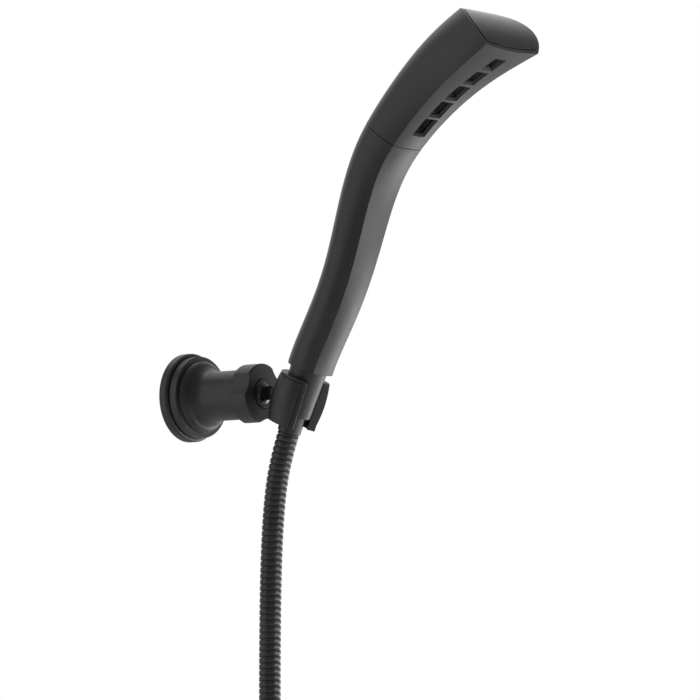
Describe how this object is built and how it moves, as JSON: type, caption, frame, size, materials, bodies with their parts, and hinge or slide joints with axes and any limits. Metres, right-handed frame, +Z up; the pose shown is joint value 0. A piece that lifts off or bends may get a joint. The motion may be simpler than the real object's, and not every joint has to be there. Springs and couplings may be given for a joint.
{
  "type": "handheld shower head",
  "caption": "Wall-mounted hand shower: ball-jointed cradle bracket, curved slim wand with a row of spray windows, conical hose nut and metal hose.",
  "frame": {"origin": "centre of the bracket's back face, on the wall", "axes": "+Z up, -Y out of the wall towards the user, +X to the right as seen from the front"},
  "size_m": [0.072, 0.2665, 0.8068],
  "materials": {
    "black_metal": "satin black powder coat",
    "black_gloss": "gloss black",
    "black_plastic": "fine satin black",
    "cap_gloss": "semi-gloss black",
    "nozzle_dark": "moulded dark grey",
    "seat_plastic": "self-lubricating plastic",
    "inner_plastic": "natural moulded",
    "valve_plastic": "moulded blue",
    "brass_part": "turned",
    "steel_part": "turned",
    "rubber_part": "moulded",
    "hose_black": "black interlock over an inner tube",
    "strap_black": "woven strap"
  },
  "bodies": {
    "bracket": {"wall_gasket": "rubber_part", "mounting_plate": "steel_part", "escutcheon": "black_metal", "bracket_body": "black_metal", "bracket_set_screw": "steel_part", "friction_ring": "rubber_part"},
    "retainer": {"ball_retainer": "black_metal"},
    "clamp_nut": {"clamp_nut": "black_metal"},
    "ball_seat": {"ball_seat": "seat_plastic"},
    "ball_stud": {"ball_stud": "black_gloss", "cradle_screw": "steel_part"},
    "cradle": {"cradle_shell": "black_metal", "cradle_liner": "black_plastic"},
    "hand_shower": {"handle_shell": "black_plastic", "head_shell": "black_plastic", "end_cap": "cap_gloss", "seam_sleeve": "inner_plastic", "waterway_tube": "inner_plastic", "spray_manifold": "inner_plastic", "spray_nozzle_1": "nozzle_dark", "spray_nozzle_2": "nozzle_dark", "spray_nozzle_3": "nozzle_dark", "spray_nozzle_4": "nozzle_dark", "spray_nozzle_5": "nozzle_dark", "inlet_nipple": "brass_part", "check_valve_body": "valve_plastic", "check_valve_disc": "rubber_part", "flow_limiter": "valve_plastic", "inlet_screen": "steel_part", "hose_nut": "black_metal", "hose_washer": "rubber_part"},
    "hose": {"hose_barb": "brass_part", "hose_ferrule": "black_metal", "hose_tube": "hose_black", "hose_coil": "hose_black", "hose_tail": "hose_black", "hose_tie": "strap_black", "supply_ferrule": "black_metal"},
    "supply_nut": {"supply_nut": "black_metal", "supply_washer": "rubber_part"}
  },
  "joints": [
    {"name": "retainer_slide", "type": "slide", "parent": "bracket", "child": "retainer", "axis": [0, -1, 0], "range_m": [0, 0.0015]},
    {"name": "clamp_nut_turn", "type": "hinge", "parent": "retainer", "child": "clamp_nut", "pos_m": [0, -0.0575, 0], "axis": [0, -1, 0], "range_deg": [0, 366]},
    {"name": "seat_roll", "type": "hinge", "parent": "bracket", "child": "ball_seat", "pos_m": [0, -0.0586, 0], "axis": [0, -1, 0], "range_deg": [-30, 30]},
    {"name": "ball_tilt", "type": "hinge", "parent": "ball_seat", "child": "ball_stud", "pos_m": [0, -0.0586, 0], "axis": [1, 0, 0], "range_deg": [-15, 12]},
    {"name": "cradle_turn", "type": "hinge", "parent": "ball_stud", "child": "cradle", "pos_m": [0, -0.0733, 0], "axis": [0, -1, 0], "range_deg": [-30, 30]},
    {"name": "hand_shower_lift", "type": "slide", "parent": "cradle", "child": "hand_shower", "axis": [0, -0.3827, 0.9239], "range_m": [0, 0.038]},
    {"name": "hose_swivel", "type": "hinge", "parent": "hand_shower", "child": "hose", "pos_m": [0, -0.09092, -0.01252], "axis": [0, 0.3827, -0.9239], "range_deg": [-40, 40]},
    {"name": "supply_nut_spin", "type": "hinge", "parent": "hose", "child": "supply_nut", "pos_m": [0.024, -0.075, -0.565], "axis": [0, 0, -1], "continuous": true}
  ],
  "couplings": [
    {"joint": "clamp_nut_turn", "follows": "retainer_slide", "rad_per_m": 4188.8}
  ]
}
